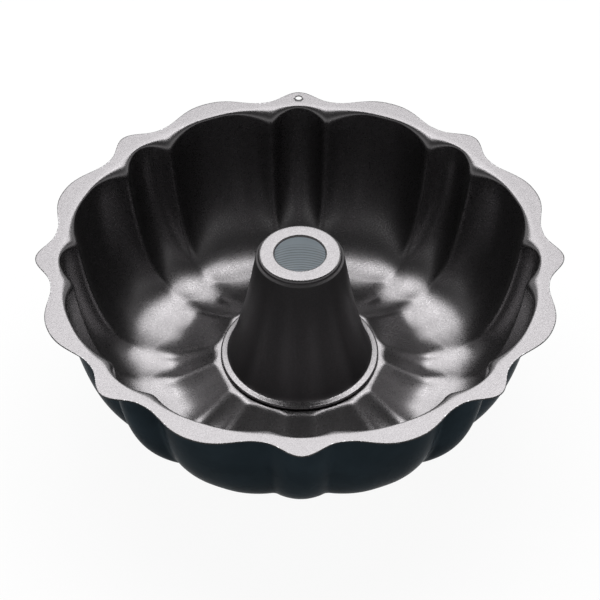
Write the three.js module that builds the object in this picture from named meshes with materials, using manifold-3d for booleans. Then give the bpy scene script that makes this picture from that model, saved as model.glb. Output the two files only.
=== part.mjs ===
// Fluted tube pan: a pressed steel ring pan with a drawn centre tube, joined by a folded lock seam in its floor.
// Millimetres, +Z up. The origin is the middle of the base, and the hanging hole lies on +Y.
import * as THREE from "three";
import Module from "manifold-3d";
import { mergeVertices } from "three/addons/utils/BufferGeometryUtils.js";

// Steel sheet and the fit between folded layers
const sheet = 0.6;
const seamClearance = 0.3;

// Flutes: narrow and wide ones take turns round the pan, with a rounded ridge between them
const pairCount = 8;
const ridgeAngle = 7.6; // degrees from the middle of a narrow flute to its ridge
const ridgeRound = 0.8; // degrees on either side of a ridge that its rounding takes
const landAngle = 2.6; // degrees on either side of a wide crown that are flat, so that the pan stands
const fluteDepth = 6.2; // crown to ridge on the wall
const floorFluteDepth = 0.7; // crown to ridge on the floor

// Wall and floor, measured on the food side at the crowns of the flutes
const panHeight = 79.1; // top of the rim above the base
const mouthRadius = 117.7; // wall at the rim
const wallDraft = 0.085; // how far the wall leans in for each millimetre down
const wallFullness = 2.6; // exponent of the curve from wall to floor: 2 is an ellipse, more is squarer
const floorRadius = 67.5; // where that curve reaches the floor
const ridgeFloorShift = 7.5; // how much further out it does so on a ridge
const landWidth = 2.5; // flat ring of the floor at a crown

// Shelf round the tube
const shelfHeight = 11.9; // above the base
const shelfAtCrowns = 1; // width of the shelf outside the seam
const shelfAtRidges = 3.5;
const shelfFillet = 3; // bend from the shelf to the inner side of the trough
const ridgeSlopeShift = 1.5; // how much further out that side ends on a ridge

// Rim: widths of the flat flange outside the mouth
const pointFlange = 12.1; // at the narrow points
const lobeFlange = 11.9; // at the broad lobes
const dipFlange = 4.6; // at the dips between them
const dipLag = 1.8; // degrees from a ridge to the dip beside it
const pointSharpness = 3; // power of the cosine that draws a point
const lobeFullness = 1.2; // stretch of the cosine that draws a lobe
const crownFillet = 1.4; // bend from rim to wall at a crown
const ridgeFillet = 4.6; // the same bend at a ridge
const holeRadius = 2;
const holeInset = 4.7; // hanging hole's middle from the edge of its point

// Centre tube
const tubeRise = 3.1; // top of the tube above the rim
const boreRadius = 12.8;
const shoulderRadius = 20.5; // corner of the tube's top before rounding
const shoulderFillet = 1.2;
const topTaper = 9.5; // degrees off the axis below the shoulder
const footTaper = 20; // degrees off the axis at the foot
const footFillet = 0.8;

// Folded seam between the tube's foot and the pan's hem
const seamRadius = 40.6; // outside of the fold
const seamWidth = 3.6; // from the outside of the fold to the foot of the tube
const seamGrip = 1.6; // overlap of the two hooks
const flangeFall = 0.6; // from the foot of the tube down to the start of the fold

// Facets
const narrowSteps = 3;
const wideSteps = 3;
const wallSteps = 6;
const slopeSteps = 3;
const filletSteps = 2;
const foldSteps = 3;
const coneSteps = 6;
const tubeSides = 48;
const holeSides = 24;

const pitch = 360 / pairCount;
const halfPitch = pitch / 2;
const dipAngle = ridgeAngle + dipLag;
const { degToRad, lerp } = THREE.MathUtils;

// Layers of the seam, from the shelf up: the tube's tongue, the pan's lip and the tube's flange
const hemFold = seamClearance + sheet / 2; // radius of the pan's hem on its hollow side
const footFold = hemFold + sheet; // radius of the tube's fold on its round side
const footFoldRadius = seamRadius - footFold; // axis of the tube's fold
const hemRadius = footFoldRadius - seamGrip; // axis of the pan's hem
const flangeTop = shelfHeight + seamClearance + 2 * footFold;

// Angle in degrees from the middle of the nearest narrow flute.
function fromNarrowFlute(angle) {
  return Math.abs(angle - pitch * Math.round(angle / pitch));
}

// Share of the flutes' depth that the sheet is pressed out at an angle: 0 on a ridge and 1 on a crown.
// A flute is a parabola across, and its slope eases out to nothing over the rounding of the ridge.
function crownShare(angle) {
  const offset = fromNarrowFlute(angle);
  const isNarrow = offset < ridgeAngle;
  const land = isNarrow ? 0 : landAngle;
  const span = (isNarrow ? ridgeAngle : halfPitch - ridgeAngle) - land;
  const across = Math.max(0, (isNarrow ? offset : halfPitch - offset) - land) / span;
  const ease = ridgeRound / span;
  const steep = 1 - ease;
  const eased = Math.max(0, across - steep);
  const drop = Math.min(across, steep) ** 2 + 2 * steep * (eased - eased ** 2 / (2 * ease));
  return 1 - drop / steep;
}

// Radius of the rim's edge at an angle: cosine swells for the points and the lobes, with dips between them.
function rimEdge(angle) {
  const offset = fromNarrowFlute(angle);
  const dip = mouthRadius + dipFlange;
  if (offset < dipAngle) {
    const swell = Math.cos((Math.PI / 2) * (offset / dipAngle)) ** pointSharpness;
    return dip + (pointFlange - dipFlange) * swell;
  }
  const across = (halfPitch - offset) / (halfPitch - dipAngle);
  const swell = Math.cos((Math.PI / 2) * across ** lobeFullness) ** 2;
  return dip + (lobeFlange - dipFlange) * swell;
}

// Points of an arc that rounds the corner between two straight stretches.
function roundCorner(before, corner, after, radius) {
  const back = before.clone().sub(corner).normalize();
  const ahead = after.clone().sub(corner).normalize();
  const half = Math.acos(back.dot(ahead)) / 2;
  const start = corner.clone().addScaledVector(back, radius / Math.tan(half));
  const middle = back.clone().add(ahead).setLength(radius / Math.sin(half)).add(corner);
  const turn = (Math.PI - 2 * half) * -Math.sign(back.cross(ahead));
  return sweep(start, middle, turn, filletSteps);
}

// Points of an arc from a start, turned round a middle.
function sweep(start, middle, turn, steps) {
  const points = [];
  for (let i = 0; i <= steps; i++) {
    points.push(start.clone().rotateAround(middle, (turn * i) / steps));
  }
  return points;
}

// Food side of the pan at an angle, as radius and height from the end of the hem out to the rim's edge.
function panProfile(angle) {
  const crown = crownShare(angle);
  const ridge = 1 - crown;
  const floorHeight = sheet + floorFluteDepth * ridge;
  const floorEdge = floorRadius + ridgeFloorShift * ridge;
  const shelfEdge = seamRadius + lerp(shelfAtRidges, shelfAtCrowns, crown);
  const mouth = mouthRadius - fluteDepth * ridge;
  const depth = panHeight - floorHeight;

  const hemStart = new THREE.Vector2(hemRadius, shelfHeight + 2 * hemFold);
  const hemMiddle = new THREE.Vector2(hemRadius, shelfHeight + hemFold);
  const profile = [new THREE.Vector2(footFoldRadius, hemStart.y)];
  profile.push(...sweep(hemStart, hemMiddle, Math.PI, foldSteps));

  // The inner side of the trough falls from the shelf as a parabola that levels out on the floor.
  const slopeEnd = floorRadius - landWidth + ridgeSlopeShift * ridge;
  const slope = [];
  for (let i = 0; i <= slopeSteps; i++) {
    const rest = 1 - i / slopeSteps;
    slope.push(new THREE.Vector2(lerp(slopeEnd, shelfEdge, rest), lerp(floorHeight, shelfHeight, rest ** 2)));
  }
  profile.push(...roundCorner(profile.at(-1), slope[0], slope[1], shelfFillet), ...slope.slice(1));

  // The outer side is a superellipse whose upright side leans with the draft of the wall.
  for (let i = 0; i < wallSteps; i++) {
    const rise = ((Math.PI / 2) * i) / wallSteps;
    const fall = depth * Math.cos(rise) ** (2 / wallFullness);
    const out = Math.sin(rise) ** (2 / wallFullness);
    const radius = lerp(floorEdge, mouth - wallDraft * fall, out);
    profile.push(new THREE.Vector2(radius, panHeight - fall));
  }

  const corner = new THREE.Vector2(mouth, panHeight);
  const edge = new THREE.Vector2(rimEdge(angle), panHeight);
  profile.push(...roundCorner(profile.at(-1), corner, edge, lerp(ridgeFillet, crownFillet, crown)), edge);
  return profile;
}

// Outer side of the tube, as radius and height from the edge of the bore to the end of the tongue in the seam.
function tubeProfile() {
  const top = panHeight + tubeRise;
  const bore = new THREE.Vector2(boreRadius, top);
  const shoulder = new THREE.Vector2(shoulderRadius, top);
  const foot = new THREE.Vector2(seamRadius - seamWidth, flangeTop + flangeFall);
  const foldStart = new THREE.Vector2(footFoldRadius, flangeTop);
  const foldMiddle = new THREE.Vector2(footFoldRadius, flangeTop - footFold);
  const tongueEnd = new THREE.Vector2(hemRadius, flangeTop - 2 * footFold);

  const handle = (top - foot.y) / 3;
  const belowShoulder = new THREE.Vector2(shoulderRadius + handle * Math.tan(degToRad(topTaper)), top - handle);
  const aboveFoot = new THREE.Vector2(foot.x - handle * Math.tan(degToRad(footTaper)), foot.y + handle);
  const bell = new THREE.CubicBezierCurve(shoulder, belowShoulder, aboveFoot, foot).getPoints(coneSteps);
  return [
    bore,
    ...roundCorner(bore, shoulder, bell.at(1), shoulderFillet),
    ...bell.slice(1, -1),
    ...roundCorner(bell.at(-2), foot, foldStart, footFillet),
    ...sweep(foldStart, foldMiddle, -Math.PI, foldSteps),
    tongueEnd,
  ];
}

// Angles in degrees of the pan's columns: even steps across each flute, with extra ones on the ridges.
function panAngles() {
  const half = [];
  for (let i = 0; i <= narrowSteps; i++) {
    half.push(((ridgeAngle - ridgeRound) * i) / narrowSteps);
  }
  half.push(ridgeAngle);
  for (let i = 0; i <= wideSteps; i++) {
    half.push(lerp(ridgeAngle + ridgeRound, halfPitch - landAngle, i / wideSteps));
  }
  const mirrored = half.slice(1).map((angle) => pitch - angle);
  const pair = [...half, halfPitch, ...mirrored.reverse()];
  return Array.from({ length: pairCount }, (_, i) => pair.map((angle) => angle + i * pitch)).flat();
}

// Evenly spaced angles in degrees for the tube's columns.
function tubeAngles() {
  return Array.from({ length: tubeSides }, (_, i) => (360 * i) / tubeSides);
}

// Grid of points from a profile at each angle, measured round the axis from +Y.
function revolve(angles, profileAt) {
  return angles.map((angle) => {
    const turn = degToRad(angle + 90);
    const place = ({ x, y }) => new THREE.Vector3(x * Math.cos(turn), x * Math.sin(turn), y);
    return profileAt(angle).map(place);
  });
}

// Average direction of the grid through a point, from the one before it to the one after.
function direction(before, point, after) {
  const arriving = point.clone().sub(before).normalize();
  const leaving = after.clone().sub(point).normalize();
  return arriving.add(leaving);
}

// Closed body of sheet metal: the grid is the food side, and the back lies one thickness behind it.
function sheetGeometry(grid) {
  const columns = grid.length;
  const rows = grid[0].length;
  const front = [];
  const back = [];
  grid.forEach((column, c) => {
    const earlier = grid.at(c - 1);
    const later = grid[(c + 1) % columns];
    column.forEach((point, r) => {
      const along = direction(column[Math.max(r - 1, 0)], point, column[Math.min(r + 1, rows - 1)]);
      const round = direction(earlier[r], point, later[r]);
      const outward = along.cross(round).normalize();
      front.push(...point);
      back.push(...point.clone().addScaledVector(outward, -sheet));
    });
  });

  const index = [];
  const quad = (a, b, c, d) => index.push(a, b, c, a, c, d);
  const backStart = columns * rows;
  for (let c = 0; c < columns; c++) {
    const here = c * rows;
    const next = ((c + 1) % columns) * rows;
    for (let r = 0; r < rows - 1; r++) {
      quad(here + r, here + r + 1, next + r + 1, next + r);
      quad(backStart + here + r, backStart + next + r, backStart + next + r + 1, backStart + here + r + 1);
    }
    const last = rows - 1;
    quad(here, next, backStart + next, backStart + here);
    quad(here + last, backStart + here + last, backStart + next + last, next + last);
  }
  const geometry = new THREE.BufferGeometry();
  geometry.setAttribute("position", new THREE.Float32BufferAttribute([...front, ...back], 3));
  geometry.setIndex(index);
  return geometry;
}

const wasm = await Module();
wasm.setup();

// Solid of a closed geometry, for cutting.
function solidOf(geometry) {
  const bare = geometry.clone();
  bare.deleteAttribute("normal");
  bare.deleteAttribute("uv");
  const merged = mergeVertices(bare);
  const vertProperties = merged.attributes.position.array;
  const triVerts = new Uint32Array(merged.index.array);
  return new wasm.Manifold(new wasm.Mesh({ numProp: 3, vertProperties, triVerts }));
}

// Geometry of a body with a cutter taken out of it.
function cut(body, cutter) {
  const mesh = solidOf(body).subtract(solidOf(cutter)).getMesh();
  const geometry = new THREE.BufferGeometry();
  geometry.setAttribute("position", new THREE.BufferAttribute(mesh.vertProperties, 3));
  geometry.setIndex(new THREE.BufferAttribute(mesh.triVerts, 1));
  return geometry;
}

// Punch for the hanging hole, upright through the rim at the point on +Y.
function holePunch() {
  const length = 4 * sheet;
  const punch = new THREE.CylinderGeometry(holeRadius, holeRadius, length, holeSides);
  return punch.rotateX(Math.PI / 2).translate(0, rimEdge(0) - holeInset, panHeight);
}

// Named mesh with a coated steel finish.
function coatedPiece(name, geometry, color) {
  geometry.computeVertexNormals();
  const mesh = new THREE.Mesh(geometry, new THREE.MeshStandardMaterial({ color, roughness: 0.4, metalness: 0.5 }));
  mesh.name = name;
  return mesh;
}

const panShell = cut(sheetGeometry(revolve(panAngles(), panProfile)), holePunch());
const centreTube = sheetGeometry(revolve(tubeAngles(), tubeProfile));

const pan = new THREE.Group();
pan.add(coatedPiece("pan_shell", panShell, 0x2b3236));
pan.add(coatedPiece("centre_tube", centreTube, 0x3a3836));

export default pan;
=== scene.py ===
"""Fluted tube pan: fine surfaces, coatings and studio for a pressed pan with a folded-in centre tube."""
import math

import bpy
import numpy as np
from mathutils import Matrix, Vector


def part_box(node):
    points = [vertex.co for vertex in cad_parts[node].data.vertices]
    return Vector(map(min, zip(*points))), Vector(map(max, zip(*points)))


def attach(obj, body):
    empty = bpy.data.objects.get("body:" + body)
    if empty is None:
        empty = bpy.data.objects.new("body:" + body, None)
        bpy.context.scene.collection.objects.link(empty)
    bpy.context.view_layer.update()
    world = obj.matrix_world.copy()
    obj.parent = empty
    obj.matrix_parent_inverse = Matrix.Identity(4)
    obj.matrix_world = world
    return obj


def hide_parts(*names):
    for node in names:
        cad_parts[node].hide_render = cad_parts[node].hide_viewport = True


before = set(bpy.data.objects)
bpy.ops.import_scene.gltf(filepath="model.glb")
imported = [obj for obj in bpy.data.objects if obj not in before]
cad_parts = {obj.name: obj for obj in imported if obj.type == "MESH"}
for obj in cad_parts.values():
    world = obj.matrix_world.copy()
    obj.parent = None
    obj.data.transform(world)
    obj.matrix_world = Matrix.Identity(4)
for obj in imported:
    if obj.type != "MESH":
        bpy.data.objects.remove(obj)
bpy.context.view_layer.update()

bl_info = {
    "name": "Fluted Tube Pan",
    "version": (1, 0, 0),
    "blender": (4, 5, 0),
    "location": "3D View > Sidebar > Tube Pan",
    "description": "Builds a coated steel tube pan with fluted wall, scalloped rim and folded seam",
    "category": "Add Mesh",
}

MM = 0.001
PAN_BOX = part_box("pan_shell")
TUBE_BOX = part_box("centre_tube")
BODY = "root"
SENSOR_WIDTH = 36.0

# Places of the three finishes in each sheet's list of materials
FOOD_SIDE = 0
BACK = 1
CUT_EDGE = 2

# Columns of the pan's mesh: over half a narrow flute, over a ridge and over half a wide flute
NARROW_COLUMNS = 9
RIDGE_COLUMNS = 6
WIDE_COLUMNS = 13

# Rows of the two meshes, and steps of their bends and of the hanging hole
SLOPE_ROWS = 23
WALL_ROWS = 44
LEDGE_ROWS = 24
BELL_ROWS = 54
SMALL_BEND_STEPS = 6
BEND_STEPS = 8
FOLD_STEPS = 12
HOLE_STEPS = 48

# Shares of a straight stretch at which it has rows
SHELF_SHARES = (0.33, 0.67)
RIM_SHARES = (0.25, 0.5, 0.75, 0.95, 1)
TOP_SHARES = (0.35, 0.7)

# Shares of a curve: of the wall's that is left below the bend to the rim, and of the bell's at which it
# leaves the bend of the top and is past the ledge
WALL_SHARE = 0.955
BELL_START = 0.02
LEDGE_END = 0.06

# Reach of the wear from the rim's edge and from the bore's edge, and the share of the sheet's thickness
# within which a point is still on the flat
RIM_WEAR = 1.2 * MM
BORE_WEAR = 0.8 * MM
FLAT_SHARE = 0.1

# Depths below the tube's top, in millimetres, at which a finish begins, is full, is full still and ends
# The first depths bound the tube's drawn side, which is rougher and darkened by painted shade
DULL_SHADED_DEPTHS = (67.7, 65.7, 2.2, 0.7)
RING_DEPTHS = (82.2, 77.2, 19.7, 14.7)

# Factors on a finish's colour: painted shade on the tube's drawn side, in the clouds of the outside coat,
# on the drawing rings, and on the dusted and the bare steel of a cut edge
DULL_PAINTED_SHADE = 0.75
CLOUD_SHADE = 1.5
RING_SHADE = 0.5
DUSTED_SHADE = 0.03
BARE_SHADE = 0.25

# Range that holds most of a noise
NOISE_RANGE = (0.3, 0.7)


def length(name, description, millimetres):
    """Length property with its default given in millimetres."""
    return bpy.props.FloatProperty(
        name=name, description=description, default=millimetres * MM, unit="LENGTH", precision=5)


def angle(name, description, degrees):
    """Angle property with its default given in degrees."""
    return bpy.props.FloatProperty(
        name=name, description=description, default=math.radians(degrees), subtype="ANGLE")


def number(name, description, value):
    """Plain number property."""
    return bpy.props.FloatProperty(name=name, description=description, default=value)


def count(name, description, value):
    """Whole number property."""
    return bpy.props.IntProperty(name=name, description=description, default=value, min=1)


def colour(name, description, value):
    """Linear colour property."""
    return bpy.props.FloatVectorProperty(
        name=name, description=description, default=value, size=3, min=0.0, max=1.0, subtype="COLOR")


class PanSizes(bpy.types.PropertyGroup):
    """Sizes of the pressed pan and of the folded seam."""
    sheet: length("Sheet", "Thickness of the steel sheet", 0.6)
    clearance: length("Seam clearance", "Gap between neighbouring layers of the folded seam", 0.1)
    pairs: count("Flute pairs", "Narrow and wide flutes that take turns round the pan", 8)
    ridge_angle: angle("Ridge angle", "From the middle of a narrow flute to its ridge", 7.6)
    ridge_round: angle("Ridge rounding", "On either side of a ridge of the wall", 1.3)
    floor_round: angle("Floor ridge rounding", "On either side of a ridge of floor and slope", 2.8)
    land_angle: angle("Land angle", "Flat on either side of a wide crown", 2.6)
    flute_depth: length("Flute depth", "Crown to ridge on the wall", 6.2)
    floor_flute_depth: length("Floor flute depth", "Wide crown to ridge on the floor", 1.7)
    narrow_lift: length("Narrow flute lift", "Wide crown to narrow crown on the floor", 0.4)
    height: length("Height", "Top of the rim above the base", PAN_BOX[1].z / MM)
    draft: number("Wall draft", "How far the wall leans in for each unit down", 0.085)
    fullness: number("Wall fullness", "Exponent of the curve from wall to floor", 2.6)
    floor_radius: length("Floor radius", "Where the wall's curve reaches the floor at a crown", 70.5)
    ridge_floor_shift: length("Ridge floor shift", "How much further out it does so on a ridge", 5.1)
    land_width: length("Land width", "Flat ring of the floor at a crown", 3.5)
    floor_rise: length("Floor rise", "Lift of the floor where it begins to turn up into the wall", 7.5)
    ridge_slope_shift: length("Ridge slope shift", "How much further out the slope ends on a ridge", 1.5)
    slope_ease: number("Slope ease", "Share of the inner slope over which it levels out", 0.33)
    shelf_height: length("Shelf height", "Shelf round the tube above the base", 11.9)
    shelf_at_crowns: length("Shelf at wide crowns", "Width of the shelf outside the seam", 1.2)
    shelf_at_narrow: length("Shelf at narrow crowns", "Width of the shelf outside the seam", 2.3)
    shelf_at_ridges: length("Shelf at ridges", "Width of the shelf outside the seam", 3.0)
    shelf_fillet: length("Shelf fillet", "Bend from the shelf to the inner slope", 6.5)
    point_flange: length("Point flange", "Rim width at the narrow points", 12.1)
    lobe_flange: length("Lobe flange", "Rim width at the broad lobes", 11.9)
    dip_flange: length("Dip flange", "Rim width at the dips between them", 4.6)
    dip_lag: angle("Dip lag", "From a ridge to the dip beside it", 1.8)
    point_sharpness: number("Point sharpness", "Power of the cosine that draws a point", 3.0)
    lobe_fullness: number("Lobe fullness", "Stretch of the cosine that draws a lobe", 1.2)
    crown_fillet: length("Crown fillet", "Bend from rim to wall at a crown", 1.4)
    ridge_fillet: length("Ridge fillet", "Bend from rim to wall at a ridge", 7.2)
    hole_radius: length("Hole radius", "Hanging hole", 1.75)
    hole_inset: length("Hole inset", "Middle of the hanging hole from the edge of its point", 4.7)
    seam_radius: length("Seam radius", "Outside of the fold", TUBE_BOX[1].y / MM)
    seam_width: length("Seam width", "From the outside of the fold to the foot of the tube", 3.6)
    seam_grip: length("Seam grip", "Overlap of the two hooks", 1.6)
    flange_fall: length("Flange fall", "From the foot of the tube down to the start of the fold", 0.35)


class TubeSizes(bpy.types.PropertyGroup):
    """Sizes of the drawn centre tube."""
    top: length("Top", "Height of the tube's flat top", TUBE_BOX[1].z / MM)
    bore_radius: length("Bore radius", "Pierced hole in the top", 12.5)
    bore_bend: length("Bore bend", "Bend of the top down into that hole", 1.0)
    shoulder_radius: length("Shoulder radius", "Corner of the ledge under the top", 21.4)
    shoulder_fillet: length("Shoulder fillet", "Rounding of the top's outer edge", 1.5)
    cap_step: length("Cap step", "How much narrower the top is than the ledge under it", 1.0)
    cap_depth: length("Cap depth", "From the top to that ledge", 2.4)
    foot_fillet: length("Foot fillet", "Bend from the tube to its flange", 0.8)
    top_taper: angle("Top taper", "Off the axis below the shoulder", 9.5)
    foot_taper: angle("Foot taper", "Off the axis at the foot", 20.0)
    sides: count("Sides", "Columns of the mesh round the tube", 256)


class Finishes(bpy.types.PropertyGroup):
    """Colours of the coatings, in linear values."""
    inside: colour("Inside coat", "Dark metallic coat of the food side", (0.126, 0.121, 0.1245))
    fleck: colour("Flecks", "Bright flakes in the inside coat", (0.144, 0.139, 0.1425))
    outside: colour("Outside coat", "Blue-black coat of the back", (0.025, 0.0365, 0.045))
    bore: colour("Tube lining", "Thin grey-blue coat inside the tube", (0.60, 0.67, 0.72))
    steel: colour("Bare steel", "Cut edges and worn corners", (0.42, 0.42, 0.43))


class StudioSettings(bpy.types.PropertyGroup):
    """Camera, floor and soft light."""
    camera_distance: length("Camera distance", "From the middle of the rim", 995.8)
    camera_elevation: angle("Camera elevation", "Above the horizon", 43.063)
    camera_azimuth: angle("Camera azimuth", "Round the pan", 0.5)
    camera_tilt: angle("Camera tilt", "Aim below the middle of the rim", 1.2)
    camera_roll: angle("Camera roll", "Turn of the picture", 0.244)
    lens: number("Lens", "Focal length in millimetres on a 36 mm sensor", 121.78)
    background: number("Background", "Strength of the white that camera and mirrors see", 1.0)
    ceiling: number("Ceiling", "How bright mirrors see the room overhead", 0.135)
    ceiling_start: number("Ceiling start", "Sine of the elevation above which they see it so", 0.8)
    fill: number("Fill", "Strength of the world's soft light", 0.12)
    floor_reach: length("Floor reach", "From the middle of the floor to its sides", 3000.0)
    floor_shade: number("Floor shade", "Grey of the floor", 0.86)
    floor_roughness: number("Floor roughness", "Roughness of the floor", 0.9)
    floor_white: number("Floor white", "Share of white in the floor that camera and mirrors see", 0.94)
    box_glow: number("Soft box glow", "Watts of the soft boxes for each square metre", 17.8)
    box_width: length("Soft box width", "Of the middle soft box", 850.0)
    box_height: length("Soft box height", "Of the middle soft box", 1100.0)
    side_width: length("Side box width", "Of the soft boxes beside it", 500.0)
    side_height: length("Side box height", "Of the soft boxes beside it", 780.0)
    side_azimuth: angle("Side box azimuth", "From the middle box to the ones beside it", 41.0)
    box_distance: length("Soft box distance", "From the middle of the rim", 1400.0)
    box_elevation: angle("Soft box elevation", "Above the horizon", 52.5)


def even_steps(start, stop, steps):
    """Evenly spaced values from start up to but without stop."""
    return np.linspace(start, stop, steps, endpoint=False)


def from_narrow_flute(angles, sizes):
    """Angle from the middle of the nearest narrow flute, which is at a multiple of the pitch."""
    pitch = 2 * np.pi / sizes.pairs
    return np.abs(angles - pitch * np.round(angles / pitch))


def crown_share(angles, sizes, rounding):
    """Share of the flutes' depth at each angle, 0 on a ridge and 1 on a crown.

    A flute is a parabola across: one minus the square of the distance from its crown, or from the land of
    a wide crown. Over the rounding of the ridge the slope falls evenly to nothing, so that neighbouring
    flutes meet smoothly."""
    half_pitch = np.pi / sizes.pairs
    offset = from_narrow_flute(angles, sizes)
    narrow = offset < sizes.ridge_angle
    land = np.where(narrow, 0.0, sizes.land_angle)
    span = np.where(narrow, sizes.ridge_angle, half_pitch - sizes.ridge_angle) - land
    across = np.maximum(0, np.where(narrow, offset, half_pitch - offset) - land) / span
    ease = rounding / span
    steep = 1 - ease
    eased = np.maximum(0, across - steep)
    drop = np.minimum(across, steep) ** 2 + 2 * steep * (eased - eased ** 2 / (2 * ease))
    return 1 - drop / steep


def mouth_radius(sizes):
    """Wall radius at the rim, from the CAD rim less the flange at a point."""
    return PAN_BOX[1].y - sizes.point_flange


def rim_edge(angles, sizes):
    """Radius of the rim's edge at each angle.

    A point is a power of a cosine over each narrow flute, and a lobe is a squared cosine of the stretched
    distance from the middle of each wide flute. They meet in a dip beside each ridge."""
    half_pitch = np.pi / sizes.pairs
    offset = from_narrow_flute(angles, sizes)
    dip_angle = sizes.ridge_angle + sizes.dip_lag
    to_dip = np.minimum(offset / dip_angle, 1)
    point = np.cos(np.pi / 2 * to_dip) ** sizes.point_sharpness
    across = np.clip((half_pitch - offset) / (half_pitch - dip_angle), 0, 1)
    lobe = np.cos(np.pi / 2 * across ** sizes.lobe_fullness) ** 2
    width = sizes.dip_flange + np.where(
        offset < dip_angle,
        (sizes.point_flange - sizes.dip_flange) * point,
        (sizes.lobe_flange - sizes.dip_flange) * lobe)
    return mouth_radius(sizes) + width


def arc(middle, start, turn, steps):
    """Arc as points of radius and height: the start turned round the middle in even steps."""
    share = np.linspace(0, 1, steps + 1)
    turn = np.asarray(turn)[..., None] * share
    arm = np.asarray(start - middle)[..., None, :]
    radius = arm[..., 0] * np.cos(turn) - arm[..., 1] * np.sin(turn)
    height = arm[..., 0] * np.sin(turn) + arm[..., 1] * np.cos(turn)
    return np.stack([radius, height], -1) + middle[..., None, :]


def round_corner(before, corner, after, radius, steps):
    """Arc that rounds the corner between two straight stretches.

    It touches both of them, and its middle is on the bisector of the corner."""
    back = before - corner
    back = back / np.linalg.norm(back, axis=-1, keepdims=True)
    ahead = after - corner
    ahead = ahead / np.linalg.norm(ahead, axis=-1, keepdims=True)
    half = np.arccos(np.sum(back * ahead, -1)) / 2
    bisector = back + ahead
    bisector = bisector / np.linalg.norm(bisector, axis=-1, keepdims=True)
    radius = np.broadcast_to(radius, half.shape)
    start = corner + back * (radius / np.tan(half))[..., None]
    middle = corner + bisector * (radius / np.sin(half))[..., None]
    side = back[..., 0] * ahead[..., 1] - back[..., 1] * ahead[..., 0]
    return arc(middle, start, (np.pi - 2 * half) * -np.sign(side), steps)


def between(first, last, shares):
    """Straight stretch from first to last at the given shares, for one pair of ends or one per column."""
    first, last = np.broadcast_arrays(np.asarray(first, float), np.asarray(last, float))
    return first[..., None, :] + (last - first)[..., None, :] * np.asarray(shares)[:, None]


def cubic(start, start_handle, end_handle, end, share):
    """Cubic curve: ends and handles weighted by the four terms of the cube of share plus rest."""
    rest = 1 - share
    first_half = rest ** 3 * start + 3 * rest ** 2 * share * start_handle
    return first_half + 3 * rest * share ** 2 * end_handle + share ** 3 * end


def pairs_of(radius, height):
    """Radius and height stacked as points, over their common shape."""
    return np.stack(np.broadcast_arrays(radius, height), -1).astype(float)


class Seam:
    """Radii and heights of the folded seam, from the sheet, the clearance and the seam's place."""

    def __init__(self, sizes):
        self.hem_fold = sizes.clearance + sizes.sheet / 2
        self.foot_fold = self.hem_fold + sizes.sheet
        self.foot_axis = sizes.seam_radius - self.foot_fold
        self.hem_axis = self.foot_axis - sizes.seam_grip
        self.shelf = sizes.shelf_height
        self.flange_top = self.shelf + sizes.clearance + 2 * self.foot_fold


def pan_angles(sizes):
    """Angles of the columns: even steps across each flute, and closer ones on the ridges.

    Half a pair of flutes is laid out, mirrored and repeated round the pan."""
    pitch = 2 * np.pi / sizes.pairs
    ridge_start = sizes.ridge_angle - sizes.ridge_round
    ridge_end = sizes.ridge_angle + sizes.ridge_round
    half = np.concatenate([
        even_steps(0, ridge_start, NARROW_COLUMNS),
        even_steps(ridge_start, ridge_end, RIDGE_COLUMNS),
        even_steps(ridge_end, pitch / 2, WIDE_COLUMNS)])
    pair = np.concatenate([half, [pitch / 2], pitch - half[:0:-1]])
    return (pair + pitch * np.arange(sizes.pairs)[:, None]).ravel()


def inner_slope(shelf_edge, shelf, slope_end, floor, ease):
    """Inner slope as radius and height: a hyperbola that falls from the shelf and levels on the floor."""
    run = np.linspace(0, 1, SLOPE_ROWS)
    level = np.hypot(1 - run, ease) - ease
    return pairs_of(
        shelf_edge[:, None] + (slope_end - shelf_edge)[:, None] * run,
        floor[:, None] + (shelf - floor)[:, None] * level / level[0])


def outer_wall(floor_edge, floor, mouth, sizes):
    """Wall as radius and height: a superellipse from the floor to the mouth that leans in with the draft.

    A lift that is a cubic of the way out turns the floor up early."""
    rise = np.pi / 2 * even_steps(0, WALL_SHARE, WALL_ROWS)
    fall = (sizes.height - floor)[:, None] * np.cos(rise) ** (2 / sizes.fullness)
    out = np.sin(rise) ** (2 / sizes.fullness)
    upright = mouth[:, None] - sizes.draft * fall
    lift = sizes.floor_rise * out * (1 - out) ** 2
    radius = floor_edge[:, None] + (upright - floor_edge[:, None]) * out
    return pairs_of(radius, sizes.height - fall + lift)


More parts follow.
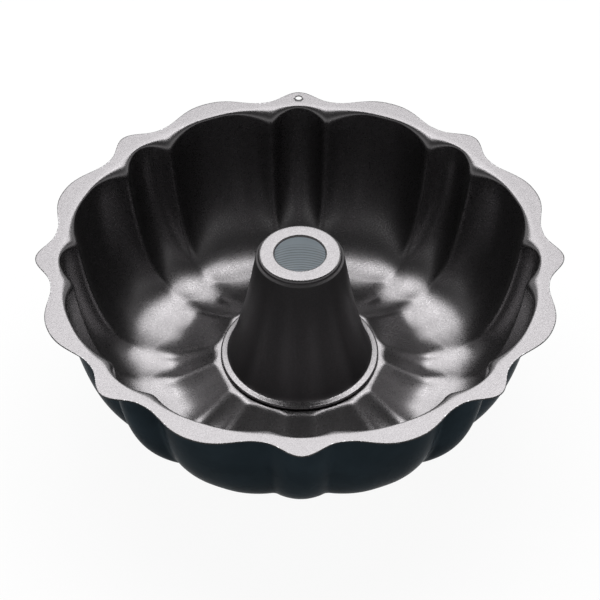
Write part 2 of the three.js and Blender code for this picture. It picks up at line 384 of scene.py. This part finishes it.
def pan_profile(angles, sizes):
    """Food side of the pan as radius and height over columns and rows, from the hem to the rim's edge.

    The hem is a half circle and the shelf is flat. One bend takes the shelf over to the inner slope, and
    another takes the wall over to the flat rim. The ridges are rounder on the floor and the slope than on
    the wall."""
    seam = Seam(sizes)
    crown = crown_share(angles, sizes, sizes.ridge_round)
    ridge = 1 - crown
    low_ridge = 1 - crown_share(angles, sizes, sizes.floor_round)
    narrow = from_narrow_flute(angles, sizes) < sizes.ridge_angle
    lift = np.where(narrow, sizes.narrow_lift * (1 - low_ridge), 0)
    floor = PAN_BOX[0].z + sizes.sheet + sizes.floor_flute_depth * low_ridge + lift
    floor_edge = sizes.floor_radius + sizes.ridge_floor_shift * low_ridge
    slope_end = sizes.floor_radius - sizes.land_width + sizes.ridge_slope_shift * low_ridge
    shelf_at_crown = np.where(narrow, sizes.shelf_at_narrow, sizes.shelf_at_crowns)
    shelf_width = shelf_at_crown + (sizes.shelf_at_ridges - shelf_at_crown) * low_ridge
    shelf_edge = sizes.seam_radius + shelf_width
    mouth = mouth_radius(sizes) - sizes.flute_depth * ridge

    columns = len(angles)
    hem_axis = np.full(columns, seam.hem_axis)
    lip = pairs_of(np.full(columns, seam.foot_axis), seam.shelf + 2 * seam.hem_fold)
    hem = pairs_of(hem_axis, seam.shelf + 2 * seam.hem_fold)
    hem_middle = pairs_of(hem_axis, seam.shelf + seam.hem_fold)
    shelf_start = pairs_of(hem_axis, seam.shelf)
    shelf_end = pairs_of(shelf_edge, seam.shelf)
    slope = inner_slope(shelf_edge, seam.shelf, slope_end, floor, sizes.slope_ease)
    brink = round_corner(shelf_start, shelf_end, slope[:, 1], sizes.shelf_fillet, SMALL_BEND_STEPS)

    wall = outer_wall(floor_edge, floor, mouth, sizes)
    corner = pairs_of(mouth, sizes.height)
    edge = pairs_of(rim_edge(angles, sizes), sizes.height)
    fillet_radius = sizes.ridge_fillet * ridge + sizes.crown_fillet * crown
    fillet = round_corner(wall[:, -1], corner, edge, fillet_radius, BEND_STEPS)
    return np.concatenate([
        between(lip, hem, [0, 0.5]),
        arc(hem_middle, hem, np.full(columns, np.pi), BEND_STEPS),
        between(shelf_start, brink[:, 0], SHELF_SHARES),
        brink,
        slope[:, 2:],
        wall,
        fillet,
        between(fillet[:, -1], edge, RIM_SHARES)], axis=1)


def tube_profile(sizes, tube):
    """Outer side of the tube as radius and height, from the bore's edge to the tongue in the seam.

    The bore's edge is bent down. The bell is a cubic curve whose two handles lean by the taper at the
    shoulder and at the foot, and a smooth step of its radius makes the ledge under the top. The fold is a
    half circle."""
    seam = Seam(sizes)
    bore = pairs_of(tube.bore_radius, tube.top)
    shoulder = pairs_of(tube.shoulder_radius, tube.top)
    foot = pairs_of(sizes.seam_radius - sizes.seam_width, seam.flange_top + sizes.flange_fall)
    fold_start = pairs_of(seam.foot_axis, seam.flange_top)
    fold_middle = pairs_of(seam.foot_axis, seam.flange_top - seam.foot_fold)
    tongue = pairs_of(seam.hem_axis, seam.flange_top - 2 * seam.foot_fold)

    handle = (tube.top - foot[1]) / 3
    below = shoulder + [handle * math.tan(tube.top_taper), -handle]
    above = foot + [-handle * math.tan(tube.foot_taper), handle]
    share = np.concatenate([
        even_steps(BELL_START, LEDGE_END, LEDGE_ROWS),
        np.linspace(LEDGE_END, 1, BELL_ROWS)])
    bell = cubic(shoulder, below, above, foot, share[:, None])
    past_ledge = np.clip((tube.top - bell[:, 1] - tube.cap_depth) / tube.cap_step + 0.5, 0, 1)
    bell[:, 0] -= tube.cap_step * (1 - past_ledge ** 2 * (3 - 2 * past_ledge))

    bore_bend = round_corner(bore - [0, tube.cap_depth], bore, shoulder, tube.bore_bend, BEND_STEPS)
    top_edge = shoulder - [tube.cap_step, 0]
    top_bend = round_corner(bore, top_edge, bell[0], tube.shoulder_fillet, BEND_STEPS)
    foot_bend = round_corner(bell[-3], foot, fold_start, tube.foot_fillet, SMALL_BEND_STEPS)
    return np.concatenate([
        bore_bend,
        between(bore_bend[-1], top_bend[0], TOP_SHARES),
        top_bend,
        bell[1:-2],
        foot_bend,
        between(foot_bend[-1], fold_start, [0.5]),
        arc(fold_middle, fold_start, -np.pi, FOLD_STEPS),
        between(pairs_of(fold_start[0], tongue[1]), tongue, [0.5, 1])])


def revolve(angles, profile):
    """Points in space: each column's radius and height turned round the axis, measured from +Y."""
    turn = angles[:, None] + np.pi / 2
    radius = profile[..., 0]
    return np.stack([radius * np.cos(turn), radius * np.sin(turn), profile[..., 1]], -1)


def edge_wear(profile, top, edge_radius, reach, sizes):
    """Wear of each point: an exponential of the distance from the edge on the flat at the top."""
    on_flat = profile[..., 1] > top - FLAT_SHARE * sizes.sheet
    from_edge = np.abs(profile[..., 0] - edge_radius)
    return np.where(on_flat, np.exp(-from_edge / reach), 0.0)


def unit(vectors):
    """Vectors of length one, with nothing left as nothing."""
    size = np.linalg.norm(vectors, axis=-1, keepdims=True)
    return np.divide(vectors, size, out=np.zeros_like(vectors), where=size > 0)


def back_of(grid, thickness):
    """Back of a sheet: each point moved by the thickness against the food side's normal.

    The normal is the cross product of the grid's mean directions along its rows and round its columns."""
    step = unit(np.diff(grid, axis=1))
    along = np.zeros_like(grid)
    along[:, :-1] += step
    along[:, 1:] += step
    turn = unit(np.roll(grid, -1, axis=0) - grid)
    around = turn + np.roll(turn, 1, axis=0)
    return grid - thickness * unit(np.cross(along, around))


def grid_faces(columns, rows, first, flipped):
    """Quads of a grid that closes round its columns, with its first vertex at a given number."""
    corner = np.arange(columns)[:, None] * rows + np.arange(rows - 1) + first
    following = np.roll(corner, -1, axis=0)
    quads = np.stack([corner, corner + 1, following + 1, following], -1).reshape(-1, 4)
    return quads[:, ::-1] if flipped else quads


def edge_faces(columns, rows, row, flipped):
    """Quads that close a sheet at one end of its rows, from the food side over to the back."""
    front = np.arange(columns) * rows + row
    back = front + columns * rows
    quads = np.stack([front, back, np.roll(back, -1), np.roll(front, -1)], -1)
    return quads[:, ::-1] if flipped else quads


def sheet_mesh(name, grid, thickness, wear):
    """Closed mesh of sheet metal from the food side's grid: two skins one thickness apart and cut edges.

    Each of the three has its own finish, and the wear of each point is kept as an attribute."""
    columns, rows = grid.shape[:2]
    points = np.concatenate([grid.reshape(-1, 3), back_of(grid, thickness).reshape(-1, 3)])
    front = grid_faces(columns, rows, 0, False)
    back = grid_faces(columns, rows, columns * rows, True)
    edges = np.concatenate([
        edge_faces(columns, rows, 0, True),
        edge_faces(columns, rows, rows - 1, False)])
    faces = np.concatenate([front, back, edges])
    mesh = bpy.data.meshes.new(name)
    mesh.from_pydata(points, [], faces.tolist())
    finish = np.repeat([FOOD_SIDE, BACK, CUT_EDGE], [len(front), len(back), len(edges)])
    mesh.polygons.foreach_set("material_index", finish.astype(np.int32))
    mesh.polygons.foreach_set("use_smooth", finish != CUT_EDGE)
    layer = mesh.attributes.new("wear", "FLOAT", "POINT")
    layer.data.foreach_set("value", np.tile(np.asarray(wear, np.float32).ravel(), 2))
    mesh.update()
    return mesh


def add_piece(name, mesh, node, materials):
    """Object at the origin that stands for a CAD node and rides on the pan's body."""
    for material in materials:
        mesh.materials.append(material)
    piece = bpy.data.objects.new(name, mesh)
    bpy.context.scene.collection.objects.link(piece)
    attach(piece, BODY)
    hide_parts(node)
    return piece


class Nodes:
    """Short way to build one material's nodes."""

    def __init__(self, name):
        self.material = bpy.data.materials.new(name)
        self.material.use_nodes = True
        self.tree = self.material.node_tree
        self.shader = self.tree.nodes["Principled BSDF"]
        self.place = self.add("ShaderNodeTexCoord").outputs["Object"]

    def add(self, kind, **values):
        """New node with its properties or its inputs set by name."""
        node = self.tree.nodes.new(kind)
        for key, value in values.items():
            if hasattr(node, key):
                setattr(node, key, value)
            else:
                node.inputs[key.replace("_", " ")].default_value = value
        return node

    def link(self, output, socket):
        """Link from an output to an input."""
        self.tree.links.new(output, socket)

    def noise(self, scale, detail):
        """Noise on the piece's own coordinates, in features per metre."""
        node = self.add("ShaderNodeTexNoise", Scale=scale, Detail=detail)
        self.link(self.place, node.inputs["Vector"])
        return node.outputs["Fac"]

    def spread(self, value, source, target=(0.0, 1.0)):
        """Value taken from one range to another, and held at its ends."""
        node = self.add("ShaderNodeMapRange", From_Min=source[0], From_Max=source[1])
        node.inputs["To Min"].default_value = target[0]
        node.inputs["To Max"].default_value = target[1]
        self.link(value, node.inputs["Value"])
        return node.outputs["Result"]

    def mix(self, share, first, second):
        """Colour between two colours, each a value or an output, from the colour sockets of a mix node."""
        node = self.add("ShaderNodeMix", data_type="RGBA")
        self.link(share, node.inputs[0])
        for socket, entry in ((node.inputs[6], first), (node.inputs[7], second)):
            if isinstance(entry, bpy.types.NodeSocket):
                self.link(entry, socket)
            else:
                socket.default_value = (*entry, 1.0)
        return node.outputs[2]

    def times(self, first, second):
        """Product of two outputs."""
        node = self.add("ShaderNodeMath", operation="MULTIPLY")
        self.link(first, node.inputs[0])
        self.link(second, node.inputs[1])
        return node.outputs[0]

    def raised(self, value, share, most):
        """Value raised by a share of the most."""
        node = self.add("ShaderNodeMath", operation="MULTIPLY_ADD")
        self.link(share, node.inputs[0])
        node.inputs[1].default_value = most
        self.link(value, node.inputs[2])
        return node.outputs[0]

    def bump(self, height, distance, strength):
        """Bump of a real height in metres, at a strength."""
        node = self.add("ShaderNodeBump", Strength=strength, Distance=distance)
        self.link(height, node.inputs["Height"])
        return node.outputs["Normal"]

    def between_depths(self, depths):
        """Share that is 1 between two depths below the tube's top and fades to 0 above and below them."""
        low, low_full, high_full, high = (TUBE_BOX[1].z - depth * MM for depth in depths)
        split = self.add("ShaderNodeSeparateXYZ")
        self.link(self.place, split.inputs[0])
        height = split.outputs["Z"]
        over_low = self.spread(height, (low, low_full))
        under_high = self.spread(height, (high_full, high), (1.0, 0.0))
        return self.times(over_low, under_high)

    def worn(self, coat, steel, bare_range):
        """Coat worn to the steel where the wear attribute times a fine noise is in the bare range."""
        wear = self.add("ShaderNodeAttribute", attribute_name="wear").outputs["Fac"]
        broken = self.times(wear, self.noise(scale=900, detail=3))
        return self.mix(self.spread(broken, bare_range), coat, steel)

    def finish(self, base, roughness, normal=None, **values):
        """Material whose shader has these outputs linked and its other inputs set by name."""
        self.link(base, self.shader.inputs["Base Color"])
        self.link(roughness, self.shader.inputs["Roughness"])
        if normal is not None:
            self.link(normal, self.shader.inputs["Normal"])
        for key, value in values.items():
            self.shader.inputs[key].default_value = value
        return self.material


def shade(tint, factor):
    """Colour times a factor."""
    return [factor * value for value in tint]


def grainy_coat(name, finishes, dull_shaded_depths=None):
    """Dark metallic coat with fine flakes, a grainy surface, cloudy gloss and edges worn to the steel.

    Between the given depths, where there are any, the coat is rougher and darker; the darkening is painted
    shade."""
    nodes = Nodes(name)
    grain = nodes.noise(scale=1250, detail=2)
    flakes = nodes.spread(grain, source=(0.42, 0.72))
    coat = nodes.mix(flakes, finishes.inside, finishes.fleck)
    gloss = nodes.spread(nodes.noise(scale=1500, detail=2), source=(0.36, 0.64), target=(0.25, 0.36))
    if dull_shaded_depths:
        dull_and_shaded = nodes.between_depths(dull_shaded_depths)
        # Painted shade: the drawn side gets a darker copy of the coat
        dark = nodes.mix(flakes, shade(finishes.inside, DULL_PAINTED_SHADE), shade(finishes.fleck, DULL_PAINTED_SHADE))
        coat = nodes.mix(dull_and_shaded, coat, dark)
        gloss = nodes.raised(gloss, dull_and_shaded, most=0.14)
    coat = nodes.worn(coat, finishes.steel, bare_range=(0.42, 0.6))
    return nodes.finish(coat, gloss, nodes.bump(grain, distance=0.0001, strength=0.25), Metallic=0.95)


def inside_coat(finishes):
    """Coat of the pan's food side."""
    return grainy_coat("inside_coat", finishes)


def tube_coat(finishes):
    """Same coat on the tube, rougher on the drawn side than on the flat top and on the fold, and darkened
    there by painted shade.
    """
    return grainy_coat("tube_coat", finishes, DULL_SHADED_DEPTHS)


def outside_coat(finishes):
    """Smooth blue-black coat, cloudy, with a slight orange peel and edges worn to the steel."""
    nodes = Nodes("outside_coat")
    cloud = nodes.spread(nodes.noise(scale=30, detail=3), source=(0.35, 0.65))
    coat = nodes.mix(cloud, finishes.outside, shade(finishes.outside, CLOUD_SHADE))
    coat = nodes.worn(coat, finishes.steel, bare_range=(0.45, 0.65))
    gloss = nodes.spread(nodes.noise(scale=60, detail=3), NOISE_RANGE, target=(0.24, 0.32))
    peel = nodes.bump(nodes.noise(scale=420, detail=2), distance=0.00004, strength=0.4)
    return nodes.finish(coat, gloss, peel, IOR=1.026)


def tube_lining(finishes):
    """Thin grey-blue coat inside the tube, over the rings that deep drawing left in the steel."""
    nodes = Nodes("tube_lining")
    wave = nodes.add("ShaderNodeTexWave", wave_type="BANDS", bands_direction="Z")
    wave.inputs["Scale"].default_value = 150
    wave.inputs["Distortion"].default_value = 0.8
    wave.inputs["Detail"].default_value = 2
    nodes.link(nodes.place, wave.inputs["Vector"])
    crests = nodes.spread(wave.outputs["Fac"], source=(0.65, 1.0))
    rings = nodes.times(crests, nodes.between_depths(RING_DEPTHS))
    coat = nodes.mix(rings, finishes.bore, shade(finishes.bore, RING_SHADE))
    gloss = nodes.spread(nodes.noise(scale=200, detail=3), NOISE_RANGE, target=(0.30, 0.42))
    return nodes.finish(coat, gloss, nodes.bump(rings, distance=0.00012, strength=0.6), Metallic=0.25)


def cut_edge(finishes):
    """Sheared steel edge under a thin dusting of coat, with fine shear marks."""
    nodes = Nodes("cut_edge")
    marks = nodes.noise(scale=1400, detail=2)
    bare = nodes.spread(marks, source=(0.5, 0.8))
    edge = nodes.mix(bare, shade(finishes.steel, DUSTED_SHADE), shade(finishes.steel, BARE_SHADE))
    return nodes.finish(edge, nodes.spread(marks, NOISE_RANGE, target=(0.35, 0.6)), Metallic=0.8)


def shared(make, finishes):
    """Material of a maker function, made once and found again by the function's name."""
    return bpy.data.materials.get(make.__name__) or make(finishes)


def punch_hole(piece, sizes):
    """Cuts the hanging hole: an upright cylinder taken out of the rim at the point on +Y.

    Half a step of turn keeps the cylinder's corners off the pan's column through its middle."""
    turn = (np.arange(HOLE_STEPS) + 0.5) * 2 * np.pi / HOLE_STEPS
    across = sizes.hole_radius * np.cos(turn)
    along = PAN_BOX[1].y - sizes.hole_inset + sizes.hole_radius * np.sin(turn)
    reach = 3 * sizes.sheet
    low = np.column_stack([across, along, np.full(HOLE_STEPS, sizes.height - reach)])
    high = np.column_stack([across, along, np.full(HOLE_STEPS, sizes.height + reach)])
    corner = np.arange(HOLE_STEPS)
    after = np.roll(corner, -1)
    sides = np.stack([corner, after, after + HOLE_STEPS, corner + HOLE_STEPS], -1).tolist()
    caps = [corner[::-1].tolist(), (corner + HOLE_STEPS).tolist()]
    mesh = bpy.data.meshes.new("hole_punch")
    mesh.from_pydata(np.concatenate([low, high]), [], sides + caps)
    mesh.materials.append(piece.data.materials[CUT_EDGE])
    punch = bpy.data.objects.new("hole_punch", mesh)
    bpy.context.scene.collection.objects.link(punch)
    cut = piece.modifiers.new("hanging_hole", "BOOLEAN")
    cut.operation = "DIFFERENCE"
    cut.solver = "EXACT"
    cut.material_mode = "TRANSFER"
    cut.object = punch
    graph = bpy.context.evaluated_depsgraph_get()
    result = bpy.data.meshes.new_from_object(piece.evaluated_get(graph))
    piece.modifiers.clear()
    piece.data = result
    bpy.data.objects.remove(punch)


class TUBEPAN_OT_pan_shell(bpy.types.Operator):
    """Make the pressed pan with its fluted wall, scalloped rim, hem and hanging hole"""
    bl_idname = "tube_pan.pan_shell"
    bl_label = "Pan Shell"

    def execute(self, context):
        sizes = context.scene.tube_pan_sizes
        finishes = context.scene.tube_pan_finishes
        angles = pan_angles(sizes)
        profile = pan_profile(angles, sizes)
        wear = edge_wear(profile, sizes.height, profile[:, -1:, 0], RIM_WEAR, sizes)
        mesh = sheet_mesh("pan_shell_fine", revolve(angles, profile), sizes.sheet, wear)
        materials = [shared(make, finishes) for make in (inside_coat, outside_coat, cut_edge)]
        piece = add_piece("pan_shell_fine", mesh, "pan_shell", materials)
        punch_hole(piece, sizes)
        return {"FINISHED"}


class TUBEPAN_OT_centre_tube(bpy.types.Operator):
    """Make the drawn centre tube with its pierced top and its fold in the seam"""
    bl_idname = "tube_pan.centre_tube"
    bl_label = "Centre Tube"

    def execute(self, context):
        sizes = context.scene.tube_pan_sizes
        tube = context.scene.tube_pan_tube
        finishes = context.scene.tube_pan_finishes
        angles = even_steps(0, 2 * np.pi, tube.sides)
        profile = tube_profile(sizes, tube)
        columns = np.broadcast_to(profile, (tube.sides, *profile.shape))
        wear = edge_wear(columns, tube.top, tube.bore_radius, BORE_WEAR, sizes)
        mesh = sheet_mesh("centre_tube_fine", revolve(angles, columns), sizes.sheet, wear)
        materials = [shared(make, finishes) for make in (tube_coat, tube_lining, cut_edge)]
        add_piece("centre_tube_fine", mesh, "centre_tube", materials)
        return {"FINISHED"}


def white_for_viewers(tree, plain, white):
    """Shader that is the white one for camera, mirror and glass rays and the plain one for the rest."""
    path = tree.nodes.new("ShaderNodeLightPath")
    seen = path.outputs["Is Camera Ray"]
    for ray in ("Is Glossy Ray", "Is Transmission Ray"):
        either = tree.nodes.new("ShaderNodeMath")
        either.operation = "MAXIMUM"
        tree.links.new(seen, either.inputs[0])
        tree.links.new(path.outputs[ray], either.inputs[1])
        seen = either.outputs[0]
    mixed = tree.nodes.new("ShaderNodeMixShader")
    tree.links.new(seen, mixed.inputs[0])
    tree.links.new(plain, mixed.inputs[1])
    tree.links.new(white, mixed.inputs[2])
    return mixed.outputs[0]


def make_world(studio):
    """World of soft light, which camera and mirrors see as white that fades to a dim ceiling overhead."""
    world = bpy.data.worlds.new("studio")
    world.use_nodes = True
    tree = world.node_tree
    soft = tree.nodes["Background"]
    soft.inputs["Strength"].default_value = studio.fill
    soft.inputs["Color"].default_value = (1, 1, 1, 1)
    white = tree.nodes.new("ShaderNodeBackground")
    white.inputs["Strength"].default_value = studio.background
    split = tree.nodes.new("ShaderNodeSeparateXYZ")
    tree.links.new(tree.nodes.new("ShaderNodeTexCoord").outputs["Generated"], split.inputs[0])
    fade = tree.nodes.new("ShaderNodeMapRange")
    fade.interpolation_type = "SMOOTHERSTEP"
    fade.inputs["From Min"].default_value = studio.ceiling_start
    fade.inputs["From Max"].default_value = 0.0
    fade.inputs["To Min"].default_value = studio.ceiling
    tree.links.new(split.outputs["Z"], fade.inputs["Value"])
    tree.links.new(fade.outputs["Result"], white.inputs["Color"])
    shown = white_for_viewers(tree, soft.outputs[0], white.outputs[0])
    tree.links.new(shown, tree.nodes["World Output"].inputs["Surface"])
    bpy.context.scene.world = world


def make_floor(studio):
    """Pale floor under the base, seen as mostly white with the pan's shadow on it."""
    reach = studio.floor_reach
    corners = [(-reach, -reach, 0), (reach, -reach, 0), (reach, reach, 0), (-reach, reach, 0)]
    mesh = bpy.data.meshes.new("floor")
    mesh.from_pydata(corners, [], [(0, 1, 2, 3)])
    floor = bpy.data.objects.new("floor", mesh)
    bpy.context.scene.collection.objects.link(floor)
    material = bpy.data.materials.new("floor")
    material.use_nodes = True
    tree = material.node_tree
    shader = tree.nodes["Principled BSDF"]
    grey = studio.floor_shade
    shader.inputs["Base Color"].default_value = (grey, grey, grey, 1)
    shader.inputs["Roughness"].default_value = studio.floor_roughness
    white = tree.nodes.new("ShaderNodeEmission")
    mostly_white = tree.nodes.new("ShaderNodeMixShader")
    mostly_white.inputs[0].default_value = studio.floor_white
    tree.links.new(shader.outputs[0], mostly_white.inputs[1])
    tree.links.new(white.outputs[0], mostly_white.inputs[2])
    shown = white_for_viewers(tree, shader.outputs[0], mostly_white.outputs[0])
    tree.links.new(shown, tree.nodes["Material Output"].inputs["Surface"])
    mesh.materials.append(material)


def make_camera(studio, middle):
    """Camera on a sphere round the middle of the rim, tilted a little below it and rolled."""
    data = bpy.data.cameras.new("camera")
    data.sensor_width = SENSOR_WIDTH
    data.lens = studio.lens
    camera = bpy.data.objects.new("camera", data)
    bpy.context.scene.collection.objects.link(camera)
    elevation = Matrix.Rotation(math.pi / 2 - studio.camera_elevation, 4, "X")
    aim = Matrix.Rotation(studio.camera_roll, 4, "Z") @ Matrix.Rotation(-studio.camera_tilt, 4, "X")
    turn = Matrix.Rotation(-studio.camera_azimuth, 4, "Z")
    back = Matrix.Translation((0, 0, studio.camera_distance))
    camera.matrix_world = Matrix.Translation(middle) @ turn @ elevation @ back @ aim
    bpy.context.scene.camera = camera


def add_soft_box(azimuth, width, height, target, studio):
    """Area light on a sphere round a target, facing it, at an azimuth from +Y, which is behind the pan."""
    reach = studio.box_distance * math.cos(studio.box_elevation)
    rise = studio.box_distance * math.sin(studio.box_elevation)
    place = target + Vector((reach * math.sin(azimuth), reach * math.cos(azimuth), rise))
    data = bpy.data.lights.new("soft_box", "AREA")
    data.shape = "RECTANGLE"
    data.size = width
    data.size_y = height
    data.energy = studio.box_glow * width * height
    lamp = bpy.data.objects.new("soft_box", data)
    bpy.context.scene.collection.objects.link(lamp)
    lamp.location = place
    lamp.rotation_euler = (target - place).to_track_quat("-Z", "Y").to_euler()


class TUBEPAN_OT_studio(bpy.types.Operator):
    """Make the floor, the soft light and the camera"""
    bl_idname = "tube_pan.studio"
    bl_label = "Studio"

    def execute(self, context):
        studio = context.scene.tube_pan_studio
        context.scene.view_settings.view_transform = "Standard"
        make_world(studio)
        make_floor(studio)
        rim_middle = Vector((0, 0, PAN_BOX[1].z))
        make_camera(studio, rim_middle)
        add_soft_box(0.0, studio.box_width, studio.box_height, rim_middle, studio)
        for azimuth in (-studio.side_azimuth, studio.side_azimuth):
            add_soft_box(azimuth, studio.side_width, studio.side_height, rim_middle, studio)
        return {"FINISHED"}


class TUBEPAN_PT_sidebar(bpy.types.Panel):
    """Buttons for the pan's pieces and its studio"""
    bl_idname = "TUBEPAN_PT_sidebar"
    bl_label = "Fluted Tube Pan"
    bl_space_type = "VIEW_3D"
    bl_region_type = "UI"
    bl_category = "Tube Pan"

    def draw(self, context):
        for operator in OPERATORS:
            self.layout.operator(operator.bl_idname)
        for group in GROUPS:
            settings = getattr(context.scene, group)
            box = self.layout.box()
            for key in settings.__annotations__:
                box.prop(settings, key)


GROUPS = {
    "tube_pan_sizes": PanSizes,
    "tube_pan_tube": TubeSizes,
    "tube_pan_finishes": Finishes,
    "tube_pan_studio": StudioSettings,
}
OPERATORS = (TUBEPAN_OT_pan_shell, TUBEPAN_OT_centre_tube, TUBEPAN_OT_studio)
CLASSES = (*GROUPS.values(), *OPERATORS, TUBEPAN_PT_sidebar)


def register():
    """Register the classes and hang the settings on the scene."""
    for cls in CLASSES:
        bpy.utils.register_class(cls)
    for name, group in GROUPS.items():
        setattr(bpy.types.Scene, name, bpy.props.PointerProperty(type=group))


def unregister():
    """Take the settings and the classes away again."""
    for name in GROUPS:
        delattr(bpy.types.Scene, name)
    for cls in reversed(CLASSES):
        bpy.utils.unregister_class(cls)


def main():
    """Build the pan and its studio."""
    register()
    bpy.ops.tube_pan.pan_shell()
    bpy.ops.tube_pan.centre_tube()
    bpy.ops.tube_pan.studio()


if __name__ == "__main__":
    main()
